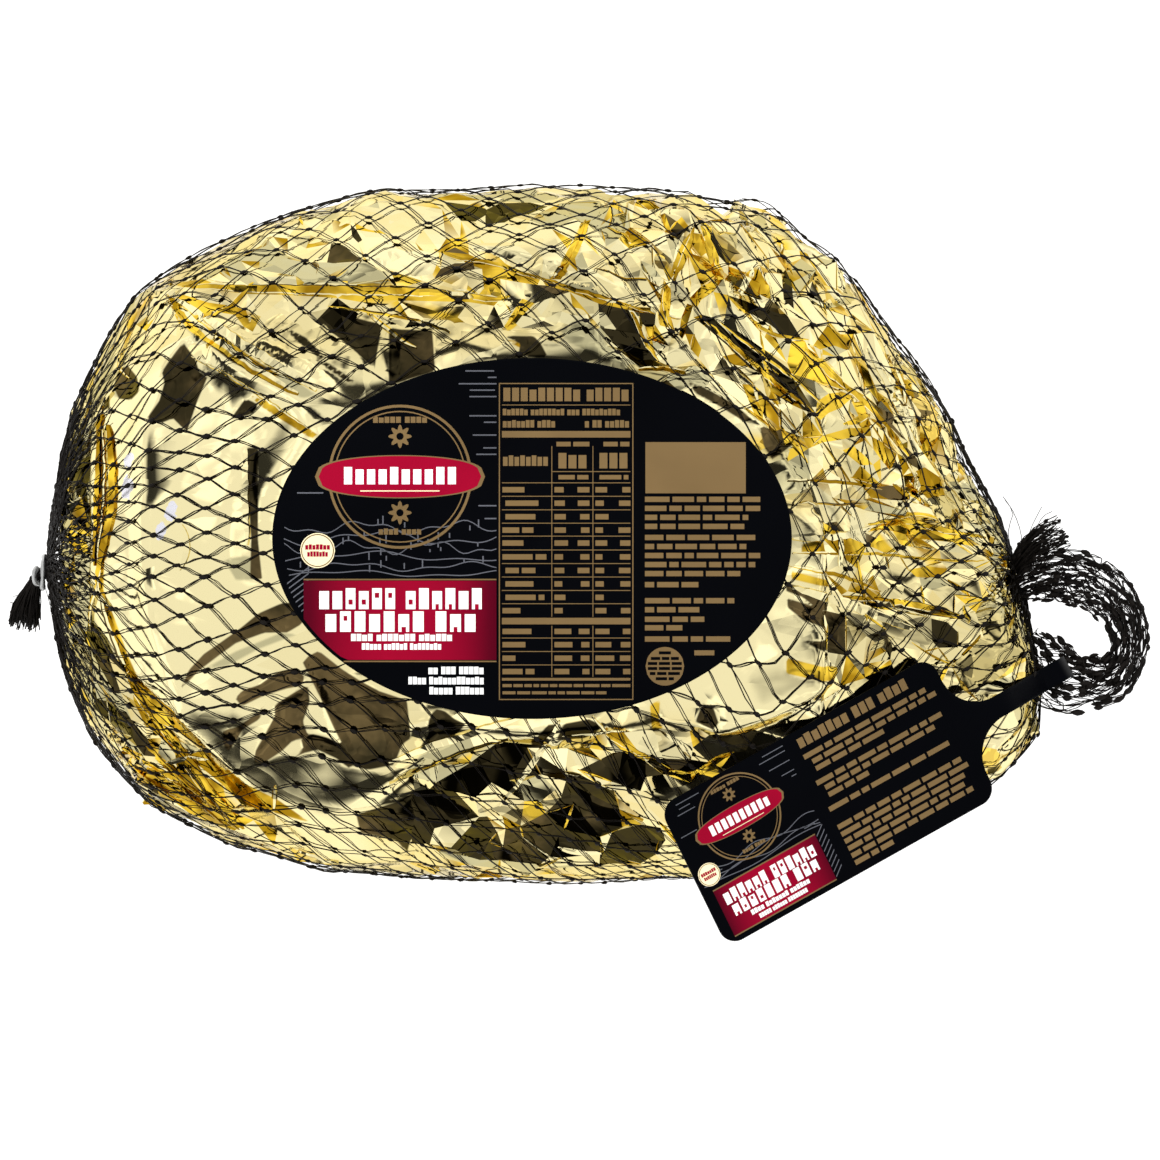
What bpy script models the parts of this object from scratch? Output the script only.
# Ham in gold foil, held in a black carrying net, with an oval front label and a board-shaped hang tag.
# Blender 4.5, metres, +Z up. The pack lies on its back, label up.
# +X runs from the wide cut end towards the shank end and its carrying loop, +Y towards the pack's upper edge.
import math

import bmesh
import bpy
import numpy as np
from mathutils import Vector

MM = 0.001

# The ham's cross-sections, from the pole at the cut end to the pole at the shank end, in mm:
# upper edge x, upper edge y, lower edge x, lower edge y, half thickness, height of the centre, squareness.
SECTIONS_MM = [
    (-144.0, -7.0, -144.0, -7.0, 0.0, 66.0, 2.0),
    (-141.5, 33.0, -141.5, -37.0, 30.0, 66.0, 2.0),
    (-136.5, 47.0, -136.5, -50.0, 43.0, 67.0, 2.1),
    (-130.0, 61.0, -130.0, -62.0, 53.0, 67.5, 2.2),
    (-123.0, 74.5, -123.0, -71.5, 61.0, 68.0, 2.3),
    (-117.0, 79.0, -117.0, -78.0, 65.0, 68.5, 2.4),
    (-102.0, 86.0, -102.0, -83.0, 70.0, 70.0, 2.4),
    (-75.0, 98.7, -75.0, -93.3, 75.0, 72.5, 2.4),
    (-45.0, 106.3, -45.0, -98.5, 78.0, 74.0, 2.4),
    (0.0, 106.5, 0.0, -99.5, 79.0, 74.5, 2.4),
    (48.0, 103.2, 48.0, -99.0, 76.0, 74.5, 2.4),
    (69.0, 97.5, 78.0, -95.1, 71.0, 74.5, 2.35),
    (84.0, 87.5, 102.0, -87.3, 58.0, 76.0, 2.3),
    (97.0, 74.0, 121.0, -78.3, 46.5, 78.0, 2.25),
    (108.0, 57.0, 135.0, -69.0, 37.5, 80.0, 2.2),
    (118.0, 40.0, 143.0, -62.0, 30.0, 81.5, 2.15),
    (127.0, 24.0, 147.5, -56.5, 23.5, 82.5, 2.1),
    (134.0, 10.0, 149.0, -48.0, 17.0, 83.0, 2.0),
    (139.0, -4.0, 147.5, -34.0, 9.5, 83.5, 2.0),
    (142.0, -16.0, 142.0, -16.0, 0.0, 84.0, 2.0),
]

# Crumpling of the foil.
FOLD_SEED = 11
SMOOTH_SPACING = 25 * MM
CRUMPLED_SPACING = 8.5 * MM
SMOOTH_RELIEF = 0.35 * MM
CRUMPLED_RELIEF = 3.1 * MM
FAN_LINES = 46  # crests and valleys that run together towards the shank end
FAN_RELIEF = 2.6 * MM
FAN_STEP = 17 * MM
RIM_LINES = 40  # the same round the cut end
RIM_RELIEF = 1.3 * MM
PLEAT_STEP = 7.5 * MM
PLEAT_WIDTH = 3.4 * MM
# Long pleats on the label side: points (x, y) in mm, and the height of the fold's edge in mm.
PLEATS_MM = [
    ([(-104, 76), (-58, 77), (-12, 72)], 2.6),
    ([(-112, 75), (-93, 53), (-64, 35)], 2.2),
    ([(-106, 66), (-80, 60), (-58, 46)], 1.8),
    ([(-118, 34), (-118, -4), (-110, -43), (-92, -73)], 2.4),
    ([(0, 85), (30, 68), (66, 60)], 2.8),
    ([(-55, -77), (-27, -61), (0, -57)], 2.0),
    ([(-18, -75), (4, -60)], 1.8),
    ([(6, -66), (34, -77)], 2.0),
    ([(40, -60), (70, -50), (96, -34)], 2.4),
]

LABEL_LENGTH = 154 * MM
LABEL_WIDTH = 107 * MM
LABEL_THICKNESS = 0.5 * MM
LABEL_CENTRE = (-2.2 * MM, 1.8 * MM)
LABEL_TOP = 155.2 * MM
LABEL_TILT = -0.018  # fall of the label towards the shank end
LABEL_RADIUS_X = 0.46
LABEL_RADIUS_Y = 0.215
LABEL_BED = 0.7 * MM  # from the label's underside down to the foil

TAG_LENGTH = 95.6 * MM
TAG_WIDTH = 47.2 * MM
TAG_CORNER = 5.2 * MM
TAG_FILLET = 12.5 * MM
TAG_THICKNESS = 0.9 * MM
STRAP_WIDTH = 6.6 * MM
TAG_START = Vector((45.6, -98.6, 147.0)) * MM  # middle of the end away from the strap
TAG_ALONG = Vector((0.8746, 0.4848, -0.28)).normalized()
TAG_ACROSS_LEAN = 0.20
# The strap's bends after the board: length of each stretch in mm, and the turn down over it in degrees.
STRAP_BENDS_MM = [(11.7, 0.0), (8.0, 44.0), (18.7, 0.0), (8.0, -59.6), (9.74, 180.0), (3.6, 0.0)]
STRAP_TWIST = 16 * MM  # over this length the strap turns level with the loop

LOOP_PATH_MM = [
    (143.4, -13.0, 84.5),
    (152.7, -9.3, 88.5),
    (161.0, -10.2, 91.0),
    (168.6, -14.1, 92.5),
    (174.4, -20.0, 93.0),
    (176.8, -27.5, 93.0),
    (176.2, -35.0, 92.5),
    (172.0, -42.0, 91.5),
    (165.0, -45.8, 90.5),
    (157.0, -46.2, 90.0),
    (149.2, -44.6, 88.9),
]
LOOP_WIDTHS_MM = [5.0, 10.5, 13.0, 13.0, 12.0, 11.0, 9.0, 7.0, 6.6, 6.6, 5.0]
LOOP_THICKNESS = 4.4 * MM

LOOP_TAIL_PATH_MM = [(141.4, -6.0, 85.0), (145.5, -2.0, 87.5), (150.3, 1.4, 89.5), (155.0, 3.8, 90.5)]
NET_TAIL_PATH_MM = [
    (-144.6, -7.2, 66.0),
    (-147.4, -7.6, 65.8),
    (-151.2, -8.6, 65.2),
    (-154.0, -15.5, 61.5),
    (-155.2, -23.5, 56.5),
]

CLIP_CENTRE_MM = (-149.2, -8.3, 65.4)
CLIP_LENGTH_MM = 9.6
CLIP_HEIGHT_MM = 8.4
CLIP_WIRE = 1.9 * MM


def clear_scene():
    for obj in list(bpy.data.objects):
        bpy.data.objects.remove(obj, do_unlink=True)


def material(name, color, roughness, metallic=0.0):
    made = bpy.data.materials.new(name)
    made.use_nodes = True
    shader = made.node_tree.nodes["Principled BSDF"]
    shader.inputs["Base Color"].default_value = (*color, 1.0)
    shader.inputs["Roughness"].default_value = roughness
    shader.inputs["Metallic"].default_value = metallic
    made.diffuse_color = (*color, 1.0)
    return made


def mesh_object(name, points, faces, finish):
    mesh = bpy.data.meshes.new(name)
    mesh.from_pydata([tuple(p) for p in points], [], [tuple(f) for f in faces])
    mesh.validate()
    obj = bpy.data.objects.new(name, mesh)
    bpy.context.scene.collection.objects.link(obj)
    mesh.materials.append(finish)
    tidy = bmesh.new()
    tidy.from_mesh(mesh)
    bmesh.ops.recalc_face_normals(tidy, faces=tidy.faces)
    tidy.to_mesh(mesh)
    tidy.free()
    return obj


def smooth_curve(knots, values, at):
    """Cubic curve through values at the rising knots, with slopes that don't overshoot."""
    knots, values, at = (np.asarray(v, float) for v in (knots, values, at))
    step = np.diff(knots)
    rise = np.diff(values, axis=0) / step[:, None]
    slope = np.zeros_like(values)
    slope[0], slope[-1] = rise[0], rise[-1]
    same_way = rise[:-1] * rise[1:] > 0
    mean = 2 * rise[:-1] * rise[1:] / np.where(same_way, rise[:-1] + rise[1:], 1.0)
    slope[1:-1] = np.where(same_way, mean, 0.0)
    i = np.clip(np.searchsorted(knots, at, side="right") - 1, 0, len(step) - 1)
    t = ((at - knots[i]) / step[i])[..., None]
    h = step[i][..., None]
    return (
        values[i] * (1 + 2 * t) * (1 - t) ** 2
        + slope[i] * h * t * (1 - t) ** 2
        + values[i + 1] * t * t * (3 - 2 * t)
        + slope[i + 1] * h * t * t * (t - 1)
    )


class HamForm:
    """The smooth outer form of the pack, as points for a distance along it and an angle round it."""

    def __init__(self):
        rows = np.array(SECTIONS_MM) * ([MM] * 6 + [1.0])
        upper = np.column_stack([rows[:, 0], rows[:, 1], rows[:, 5]])
        lower = np.column_stack([rows[:, 2], rows[:, 3], rows[:, 5]])
        centre = (upper + lower) / 2
        front = centre + np.outer(rows[:, 4], (0, 0, 1))
        back = centre - np.outer(rows[:, 4], (0, 0, 1))
        lengths = [np.linalg.norm(np.diff(edge, axis=0), axis=1) for edge in (upper, lower, front, back)]
        self.knots = np.concatenate([[0], np.cumsum(np.mean(lengths, axis=0))])
        self.length = self.knots[-1]
        self.values = np.column_stack([centre, upper - centre, rows[:, 4], rows[:, 6]])

    def section(self, along):
        row = smooth_curve(self.knots, self.values, np.clip(along, 0, self.length))
        return row[..., 0:3], row[..., 3:6], row[..., 6], row[..., 7]

    def point(self, along, angle):
        centre, to_edge, thick, square = self.section(along)
        c, s = np.cos(angle), np.sin(angle)
        c = np.sign(c) * np.abs(c) ** (2 / square)
        s = np.sign(s) * np.abs(s) ** (2 / square)
        found = centre + to_edge * c[..., None]
        found[..., 2] += thick * s
        return found

    def normal(self, along, angle):
        step, turn = 0.5 * MM, 0.01
        low, high = np.maximum(along - step, 0), np.minimum(along + step, self.length)
        lengthwise = self.point(high, angle) - self.point(low, angle)
        round_it = self.point(along, angle + turn) - self.point(along, angle - turn)
        found = np.cross(round_it, lengthwise)
        return found / np.maximum(np.linalg.norm(found, axis=-1, keepdims=True), 1e-12)

    def radius(self, along):
        _, to_edge, thick, _ = self.section(along)
        return np.maximum((np.linalg.norm(to_edge, axis=-1) + thick) / 2, 0.5 * MM)

    def locate(self, x, y):
        """(along, angle) of the point of the label side that lies over x, y."""
        along, angle = np.meshgrid(
            np.linspace(2 * MM, self.length - 2 * MM, 420), np.linspace(0.02, math.pi - 0.02, 260)
        )
        grid = self.point(along, angle)
        nearest = np.argmin((grid[..., 0] - x) ** 2 + (grid[..., 1] - y) ** 2)
        return along.flat[nearest], angle.flat[nearest]


def ramp(value, start, end):
    t = np.clip((value - start) / (end - start), 0, 1)
    return t * t * (3 - 2 * t)


def crumpling(place):
    """How crumpled the foil is at a place, from 0, drawn smooth, to 1. Both faces of the pack share it."""
    x, y = place[..., 0] / MM, place[..., 1] / MM
    upper_right = ramp(x, 0, 45) * ramp(y, -5, 30)
    shank = 0.75 * ramp(x, 70, 100)
    lower = 0.42 * ramp(-y, 35, 60) * ramp(x, -70, -30)
    upper_left = 0.36 * ramp(y, 40, 62)
    return np.clip(np.maximum.reduce([upper_right, shank, lower, upper_left, 0.1 + 0 * x]), 0, 1)


class FoilFolds:
    """Corner points of the foil's flat facets, each with its height over the smooth form."""

    def __init__(self, form):
        self.form = form
        self.random = np.random.default_rng(FOLD_SEED)
        self.along, self.angle, self.height = [], [], []
        self.fan_from = form.knots[11]
        self.rim_to = form.knots[5]

    def stretch(self, along):
        """Under 1 where facets are drawn out lengthwise, as towards both gathered ends."""
        pole = np.minimum(along, self.form.length - along)
        shank = 0.5 * ramp(along, self.fan_from - 15 * MM, self.fan_from + 15 * MM)
        rim = 0.35 * ramp(-along, -self.rim_to, -self.rim_to + 20 * MM)
        return 1 - np.maximum(shank, rim) * ramp(pole, 8 * MM, 25 * MM)

    def apart(self, along, angle):
        """Distance to every point kept so far, shortened lengthwise where facets are drawn out."""
        other, round_it = np.array(self.along), np.array(self.angle)
        turn = (angle - round_it + math.pi) % (2 * math.pi) - math.pi
        lengthwise = (along - other) * self.stretch(along)
        return np.hypot(lengthwise, turn * self.form.radius(along))

    def keep(self, along, angle, height, clear):
        if self.along and self.apart(along, angle).min() < clear:
            return
        self.along.append(float(along))
        self.angle.append(float(angle) % (2 * math.pi))
        self.height.append(float(height))

    def add_poles(self):
        self.keep(0.0, 0.0, 0.0, 0.0)
        self.keep(self.form.length, 0.0, 0.0, 0.0)

    def add_pleats(self):
        """A pleat is a raised edge with a groove close beside it."""
        for points, rise in PLEATS_MM:
            line = np.array(points, float) * MM
            reach = np.concatenate([[0], np.cumsum(np.linalg.norm(np.diff(line, axis=0), axis=1))])
            count = max(3, int(reach[-1] / PLEAT_STEP) + 1)
            at = np.linspace(0, reach[-1], count)
            track = smooth_curve(reach, line, at)
            heading = np.gradient(track, axis=0)
            heading /= np.linalg.norm(heading, axis=1, keepdims=True)
            for k, ((x, y), (dx, dy)) in enumerate(zip(track, heading)):
                fade = math.sin(math.pi * (k + 0.6) / (count + 0.2)) ** 0.5
                crest = self.form.locate(x, y)
                groove = self.form.locate(x + dy * PLEAT_WIDTH, y - dx * PLEAT_WIDTH)
                self.keep(*crest, rise * MM * fade * self.random.uniform(0.8, 1.1), 2 * MM)
                self.keep(*groove, -0.7 * rise * MM * fade, 2 * MM)

    def add_fan(self, lines, first, last, step, relief):
        """Crests and valleys that run lengthwise between two distances along the pack."""
        for k in range(lines):
            share = self.random.uniform(0.45, 1.0)
            drift = self.random.uniform(-0.25, 0.25)
            side = 1 if k % 2 == 0 else -1
            along = first + step * self.random.uniform(0, 1)
            while along < last:
                angle = 2 * math.pi * (k + drift) / lines + 0.05 * math.sin(9 * k + along / (14 * MM))
                place = self.form.point(np.array([along]), np.array([angle]))[0]
                across = 2 * math.pi * self.form.radius(along) / lines
                height = side * relief * share * min(1, across / (8 * MM))
                if place[1] < 18 * MM or place[2] < 60 * MM:
                    self.keep(along, angle, height, 0.72 * min(across, 8 * MM))
                along += step * self.random.uniform(0.8, 1.25)

    def fill(self, tries=26000):
        """Scattered corners: close together in crumpled foil, far apart where it is drawn smooth."""
        along = self.random.uniform(0, self.form.length, tries)
        angle = self.random.uniform(0, 2 * math.pi, tries)
        chance = self.random.uniform(0, 1, tries)
        rise = self.random.uniform(-1, 1, tries)
        radius = self.form.radius(along)
        wanted = chance < radius / radius.max()
        place = self.form.point(along, angle)
        rough = crumpling(place)
        hidden = place[:, 2] < 12 * MM
        spacing = SMOOTH_SPACING + (CRUMPLED_SPACING - SMOOTH_SPACING) * rough ** 0.7
        spacing = np.where(hidden, SMOOTH_SPACING, spacing)
        relief = SMOOTH_RELIEF + (CRUMPLED_RELIEF - SMOOTH_RELIEF) * rough
        for i in np.flatnonzero(wanted):
            near_pole = min(along[i], self.form.length - along[i])
            clear = min(spacing[i], 4 * MM + 0.5 * near_pole)
            height = relief[i] * (0.25 + 0.75 * abs(rise[i])) * np.sign(rise[i])
            self.keep(along[i], angle[i], height, clear)

    def gather(self):
        self.add_poles()
        self.add_pleats()
        self.add_fan(FAN_LINES, self.fan_from, self.form.length - 16 * MM, FAN_STEP, FAN_RELIEF)
        self.add_fan(RIM_LINES, 14 * MM, self.rim_to, 15 * MM, RIM_RELIEF)
        self.fill()
        return np.array(self.along), np.array(self.angle), np.array(self.height)


def wrapped_faces(form, folds, along, angle):
    """Triangles that join the corners, found as the hull of their images on a sphere."""
    at = np.linspace(0, form.length, 900)
    slow = folds.stretch(at) / form.radius(at)
    ordinate = np.concatenate([[0], np.cumsum((slow[1:] + slow[:-1]) / 2 * np.diff(at))])
    ordinate -= ordinate[len(at) // 2]
    here = np.interp(along, at, ordinate)
    latitude = np.arctan(np.sinh(here))
    latitude[0], latitude[1] = -math.pi / 2, math.pi / 2
    sphere = np.column_stack(
        [np.cos(latitude) * np.cos(angle), np.cos(latitude) * np.sin(angle), np.sin(latitude)]
    )
    hull = bmesh.new()
    for p in sphere:
        hull.verts.new(p)
    hull.verts.index_update()
    hull.verts.ensure_lookup_table()
    bmesh.ops.convex_hull(hull, input=hull.verts[:])
    bmesh.ops.triangulate(hull, faces=hull.faces)
    faces = []
    for face in hull.faces:
        a, b, c = (v.co for v in face.verts)
        turned = (b - a).cross(c - a).dot(a + b + c) < 0
        loop = [v.index for v in face.verts]
        faces.append(loop[::-1] if turned else loop)
    hull.free()
    return np.array(faces)


def label_height(x, y):
    """Height of the label's printed face over x, y."""
    u, v = x - LABEL_CENTRE[0], y - LABEL_CENTRE[1]
    return (
        LABEL_TOP
        + LABEL_TILT * u
        - u * u / (2 * LABEL_RADIUS_X)
        - v * v / (2 * LABEL_RADIUS_Y)
    )


def label_reach(x, y):
    """1 on the label's edge, less inside it."""
    u, v = x - LABEL_CENTRE[0], y - LABEL_CENTRE[1]
    return np.hypot(u / (LABEL_LENGTH / 2), v / (LABEL_WIDTH / 2))


def netted_ham(finish):
    form = HamForm()
    folds = FoilFolds(form)
    along, angle, height = folds.gather()
    faces = wrapped_faces(form, folds, along, angle)
    points = form.point(along, angle) + form.normal(along, angle) * height[:, None]
    points[0], points[1] = form.point(np.array([0.0, form.length]), np.zeros(2))

    # Each facet is split once; the new corners follow the ham's roundness where the foil is smooth.
    edges = np.sort(np.concatenate([faces[:, [0, 1]], faces[:, [1, 2]], faces[:, [2, 0]]]), axis=1)
    edges, back = np.unique(edges, axis=0, return_inverse=True)
    first, second = edges[:, 0], edges[:, 1]
    flat = (points[first] + points[second]) / 2
    turn = (angle[second] - angle[first] + math.pi) % (2 * math.pi) - math.pi
    mid_along, mid_angle = (along[first] + along[second]) / 2, angle[first] + turn / 2
    mid_height = (height[first] + height[second]) / 2
    bowed = form.point(mid_along, mid_angle) + form.normal(mid_along, mid_angle) * mid_height[:, None]
    rough = crumpling(flat)
    at_pole = (first < 2) | (second < 2)
    share = np.where(at_pole, 0.3, 0.15 + 0.8 * (1 - rough))
    middle = flat + (bowed - flat) * share[:, None]
    length = np.linalg.norm(points[first] - points[second], axis=1)
    kink = folds.random.uniform(-1, 1, len(edges)) * (0.012 + 0.075 * rough) * length
    middle += form.normal(mid_along, mid_angle) * np.where(at_pole, 0, kink)[:, None]
    points = np.concatenate([points, middle])
    ab, bc, ca = (back.reshape(-1).reshape(3, -1) + len(along))
    a, b, c = faces.T
    faces = np.concatenate(
        [np.column_stack(corner) for corner in ((a, ab, ca), (ab, b, bc), (ca, bc, c), (ab, bc, ca))]
    )

    # The foil lies flat under the label and stays a little under it round the edge.
    x, y, z = points.T
    reach = label_reach(x, y)
    over = z > 90 * MM
    bed = label_height(x, y) - LABEL_THICKNESS - LABEL_BED
    lift = ramp(-reach, -1.16, -1.05)
    points[:, 2] = np.where(over & (reach < 1.16), np.minimum(z, bed + 1.2 * MM) * (1 - lift) + bed * lift, z)
    points[:, 2] = np.maximum(points[:, 2], 0)
    return mesh_object("netted_ham", points, faces, finish)


def front_label(finish, rings=5, sides=52):
    """Oval sheet on the label side."""
    points = []
    for under in (0, 1):
        points.append((*LABEL_CENTRE, LABEL_TOP - under * LABEL_THICKNESS))
        for r in range(1, rings + 1):
            for k in range(sides):
                turn = 2 * math.pi * k / sides
                x = LABEL_CENTRE[0] + LABEL_LENGTH / 2 * r / rings * math.cos(turn)
                y = LABEL_CENTRE[1] + LABEL_WIDTH / 2 * r / rings * math.sin(turn)
                points.append((x, y, label_height(x, y) - under * LABEL_THICKNESS))
    per_side = 1 + rings * sides
    faces = []
    for under in (0, 1):
        base = under * per_side
        for k in range(sides):
            after = (k + 1) % sides
            faces.append((base, base + 1 + k, base + 1 + after))
            for r in range(rings - 1):
                a = base + 1 + r * sides
                faces.append((a + k, a + sides + k, a + sides + after, a + after))
    edge = 1 + (rings - 1) * sides
    for k in range(sides):
        after = (k + 1) % sides
        faces.append((edge + k, per_side + edge + k, per_side + edge + after, edge + after))
    return mesh_object("front_label", points, faces, finish)


def tag_half_width(at):
    """Half the tag's width at a distance from its square end: board, fillets, then the strap."""
    board, strap = TAG_WIDTH / 2, STRAP_WIDTH / 2
    if at < TAG_CORNER:
        return board - TAG_CORNER + math.sqrt(max(TAG_CORNER**2 - (TAG_CORNER - at) ** 2, 0))
    if at < TAG_LENGTH - TAG_CORNER:
        return board
    fillet_axis = strap + TAG_FILLET
    if at < TAG_LENGTH:
        shoulder = board - TAG_CORNER + math.sqrt(max(TAG_CORNER**2 - (at - TAG_LENGTH + TAG_CORNER) ** 2, 0))
        return max(shoulder, fillet_axis)
    turned = at - TAG_LENGTH
    if turned < TAG_FILLET:
        return fillet_axis - math.sqrt(max(TAG_FILLET**2 - (TAG_FILLET - turned) ** 2, 0))
    return strap


def tag_frame():
    along = TAG_ALONG
    level = Vector((-along.y, along.x, 0)).normalized()
    across = (level + Vector((0, 0, TAG_ACROSS_LEAN))).normalized()
    across = (across - along * across.dot(along)).normalized()
    return along, across


def tag_stations():
    """Points along the tag's middle, with the directions along and across it and half the width there."""
    along, across = tag_frame()
    corner = [TAG_CORNER * (1 - math.cos(math.radians(a))) for a in (0, 18, 36, 54, 72, 90)]
    board = corner + [TAG_LENGTH * k / 6 for k in range(1, 6)]
    board += [TAG_LENGTH - c for c in reversed(corner[:-1])]
    board[0] = 0.02 * MM
    found = [(TAG_START + along * at, along, across, tag_half_width(at)) for at in board]

    fillet = [TAG_LENGTH + TAG_FILLET * (1 - math.cos(math.radians(a))) for a in (25, 45, 60, 75, 90)]
    level = Vector((-along.y, along.x, 0)).normalized()
    ahead = Vector((along.x, along.y, 0)).normalized()
    slope = math.asin(-along.z)
    place, at, run = TAG_START + along * TAG_LENGTH, TAG_LENGTH, 0.0
    for stretch_mm, turn in STRAP_BENDS_MM:
        steps = max(2, round(stretch_mm / 0.75))
        step = stretch_mm * MM / steps
        for _ in range(steps):
            slope += math.radians(turn) / steps
            heading = ahead * math.cos(slope) - Vector((0, 0, math.sin(slope)))
            place = place + heading * step
            at += step
            run += step
            if any(abs(at - f) <= step / 2 for f in fillet) or (at > fillet[-1] and run >= 1.5 * MM):
                twist = min((at - TAG_LENGTH) / STRAP_TWIST, 1)
                found.append((place.copy(), heading, across.lerp(level, twist), tag_half_width(at)))
                run = 0.0
    return found


def hang_tag(finish):
    """Board and strap in one sheet; the strap bends down past the ham's end and round the carrying loop."""
    stations = tag_stations()
    points, faces = [], []
    for place, heading, across, half in stations:
        face = heading.cross(across).normalized() * TAG_THICKNESS / 2
        for side, level in ((-1, 1), (1, 1), (1, -1), (-1, -1)):
            points.append(place + across * half * side + face * level)
    for k in range(len(stations) - 1):
        a, b = 4 * k, 4 * k + 4
        for j in range(4):
            n = (j + 1) % 4
            faces.append((a + j, a + n, b + n, b + j))
    last = 4 * (len(stations) - 1)
    faces += [(0, 1, 2, 3), (last + 3, last + 2, last + 1, last)]
    return mesh_object("hang_tag", points, faces, finish)


def swept(name, path, widths, thicknesses, flat_way, finish, sides=12, power=2.0):
    """Solid along a path, with oval sections: thickness along flat_way, width across it."""
    path = np.asarray(path, float)
    heading = np.gradient(path, axis=0)
    heading /= np.linalg.norm(heading, axis=1, keepdims=True)
    points, faces = [], []
    for p, t, w, h, up in zip(path, heading, widths, thicknesses, flat_way):
        wide = np.cross(up, t)
        wide /= np.linalg.norm(wide)
        thin = np.cross(t, wide)
        for k in range(sides):
            turn = 2 * math.pi * (k + 0.5) / sides
            c, s = math.cos(turn), math.sin(turn)
            c, s = math.copysign(abs(c) ** (2 / power), c), math.copysign(abs(s) ** (2 / power), s)
            points.append(p + wide * w / 2 * c + thin * h / 2 * s)
    for i in range(len(path) - 1):
        for k in range(sides):
            n = (k + 1) % sides
            faces.append((i * sides + k, i * sides + n, (i + 1) * sides + n, (i + 1) * sides + k))
    faces.append(tuple(range(sides)))
    faces.append(tuple((len(path) - 1) * sides + k for k in reversed(range(sides))))
    return mesh_object(name, points, faces, finish)


def curve_through(points_mm, count):
    points = np.array(points_mm, float) * MM
    reach = np.concatenate([[0], np.cumsum(np.linalg.norm(np.diff(points, axis=0), axis=1))])
    at = np.linspace(0, reach[-1], count)
    padded = np.vstack([2 * points[0] - points[1], points, 2 * points[-1] - points[-2]])
    i = np.clip(np.searchsorted(reach, at, side="right") - 1, 0, len(points) - 2)
    t = ((at - reach[i]) / (reach[i + 1] - reach[i]))[:, None]
    p0, p1, p2, p3 = padded[i], padded[i + 1], padded[i + 2], padded[i + 3]
    track = 0.5 * (
        2 * p1 + (p2 - p0) * t + (2 * p0 - 5 * p1 + 4 * p2 - p3) * t**2 + (3 * p1 - p0 - 3 * p2 + p3) * t**3
    )
    return track, at / reach[-1]


def carry_loop(finish):
    """The net's gathered end, doubled back into a flat loop."""
    track, share = curve_through(LOOP_PATH_MM, 40)
    knots = np.linspace(0, 1, len(LOOP_WIDTHS_MM))
    widths = np.interp(share, knots, LOOP_WIDTHS_MM) * MM
    thick = LOOP_THICKNESS * (0.75 + 0.25 * np.sin(math.pi * share))
    up = np.tile((0.0, 0.0, 1.0), (len(track), 1))
    return swept("carry_loop", track, widths, thick, up, finish, sides=12, power=2.4)


def tuft(name, path_mm, widths_mm, flat, thick_mm, finish):
    """Cut ends of the net that spread past a clip."""
    track, share = curve_through(path_mm, 12)
    knots = np.linspace(0, 1, len(widths_mm))
    widths = np.interp(share, knots, widths_mm) * MM
    thick = np.interp(share, knots, thick_mm) * MM
    up = np.tile(flat, (len(track), 1))
    return swept(name, track, widths, thick, up, finish, sides=10)


def wire_clip(name, centre_mm, long_axis, short_axis, long_mm, short_mm, finish):
    """Bent wire, crimped round the gathered net, with its two ends side by side."""
    centre = np.array(centre_mm) * MM
    a = np.array(long_axis, float) / np.linalg.norm(long_axis)
    b = np.array(short_axis, float)
    b = b - a * (a @ b)
    b /= np.linalg.norm(b)
    side = np.cross(a, b)
    turns = np.radians(np.linspace(-168, 168, 34))
    path = []
    for turn in turns:
        c, s = math.cos(turn), math.sin(turn)
        c, s = math.copysign(abs(c) ** 0.8, c), math.copysign(abs(s) ** 0.8, s)
        shift = side * 0.55 * CLIP_WIRE * (turn / math.pi)
        path.append(centre + b * short_mm * MM / 2 * c + a * long_mm * MM / 2 * s + shift)
    round_wire = np.full(len(path), CLIP_WIRE)
    up = np.tile(side, (len(path), 1))
    return swept(name, path, round_wire, round_wire, up, finish, sides=8)


def build():
    clear_scene()
    gold = material("gold_foil", (0.87, 0.74, 0.40), 0.12, 1.0)
    black_print = material("black_label", (0.012, 0.012, 0.014), 0.45)
    tag_card = material("black_card", (0.012, 0.012, 0.014), 0.4)
    black_net = material("black_net", (0.015, 0.015, 0.016), 0.5)
    metal = material("clip_metal", (0.62, 0.62, 0.61), 0.35, 1.0)

    netted_ham(gold)
    front_label(black_print)
    hang_tag(tag_card)
    carry_loop(black_net)
    tuft(
        "loop_tail",
        LOOP_TAIL_PATH_MM,
        [4.0, 7.5, 9.5, 9.0],
        (0.2, -0.3, 1.0),
        [3.0, 5.0, 6.0, 4.5],
        black_net,
    )
    tuft(
        "net_tail",
        NET_TAIL_PATH_MM,
        [6.4, 4.0, 3.8, 8.5, 10.5],
        (-0.3, 0.1, 1.0),
        [6.0, 3.6, 4.0, 5.5, 6.0],
        black_net,
    )
    wire_clip("tail_clip", CLIP_CENTRE_MM, (0, 1, 0), (0, 0, 1), CLIP_LENGTH_MM, CLIP_HEIGHT_MM, metal)


build()
